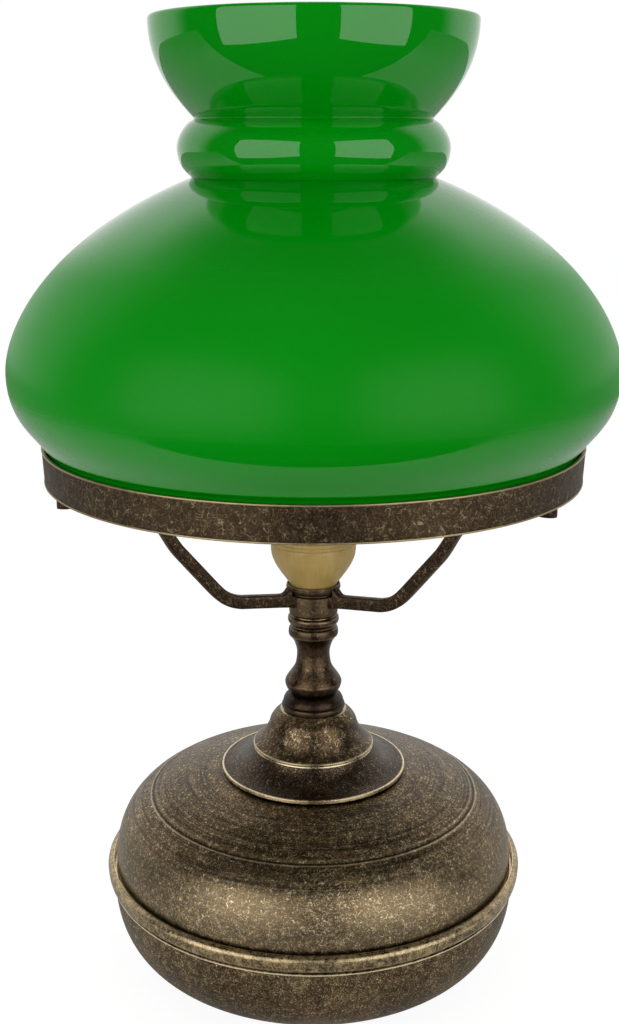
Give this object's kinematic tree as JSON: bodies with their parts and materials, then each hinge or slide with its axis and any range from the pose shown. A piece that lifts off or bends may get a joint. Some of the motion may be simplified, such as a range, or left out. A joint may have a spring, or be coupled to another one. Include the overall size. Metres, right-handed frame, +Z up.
{
  "type": "table lamp",
  "caption": "Table lamp in oil-lamp style: open-topped glass shade in a three-armed brass ring, turned stem with E27 lampholder, round hollow brass base.",
  "frame": {"origin": "centre of the foot's underside, on the table under the stem's axis", "axes": "+Z up along the stem; +X to the right and -Y towards the viewer; the right arm points 34 degrees forward of +X and the cable outlet faces +Y"},
  "size_m": [0.2664, 0.2664, 0.434],
  "materials": {
    "aged_brass": "antiqued, dark, with worn bright edges and fine scratches",
    "dark_brass": "antiqued, dark",
    "bare_brass": "machined",
    "steel": "zinc plated",
    "cast_iron": "rough casting",
    "ivory": "satin ivory moulding",
    "ceramic": "glazed porcelain",
    "green_glass": "glossy green glass cased over opal",
    "opal_glass": "opal white bulb",
    "felt": "felt",
    "black_plastic": "moulded",
    "brown_insulation": "smooth wire insulation",
    "blue_insulation": "smooth wire insulation"
  },
  "bodies": {
    "lamp_frame": {"felt_pad": "felt", "bottom_plate": "steel", "bottom_screw_1": "steel", "bottom_screw_2": "steel", "bottom_screw_3": "steel", "base_lower_shell": "aged_brass", "base_upper_shell": "aged_brass", "base_bead_ring": "aged_brass", "base_seam_sleeve": "bare_brass", "base_weight": "cast_iron", "cable_bushing": "black_plastic", "threaded_tube": "bare_brass", "base_washer": "steel", "base_locknut": "steel", "holder_locknut": "steel", "stem_skirt": "dark_brass", "stem_bell": "aged_brass", "stem_collar": "dark_brass", "stem_baluster": "aged_brass", "stem_spacer": "aged_brass", "arm_hub": "aged_brass", "arm_right": "aged_brass", "arm_left": "aged_brass", "arm_back": "aged_brass", "arm_screw_right": "dark_brass", "arm_screw_left": "dark_brass", "arm_screw_back": "dark_brass", "shade_ring": "aged_brass", "holder_cup": "dark_brass", "holder_cap": "ivory", "holder_body": "ivory", "holder_insert": "ceramic", "centre_contact": "bare_brass", "side_contact": "bare_brass", "terminal_block": "ceramic", "terminal_screw_1": "bare_brass", "terminal_screw_2": "bare_brass", "terminal_fixing_screw": "steel", "lead_live": "brown_insulation", "lead_neutral": "blue_insulation"},
    "shade": {"shade_glass": "green_glass"},
    "bulb": {"bulb_cap": "steel", "bulb_insulator": "black_plastic", "bulb_contact": "bare_brass", "bulb_globe": "opal_glass"}
  },
  "joints": [
    {"name": "shade_lift", "type": "slide", "parent": "lamp_frame", "child": "shade", "axis": [0, 0, 1], "range_m": [0, 0.12]},
    {"name": "bulb_unscrew", "type": "slide", "parent": "lamp_frame", "child": "bulb", "axis": [0, 0, 1], "range_m": [0, 0.22]}
  ]
}
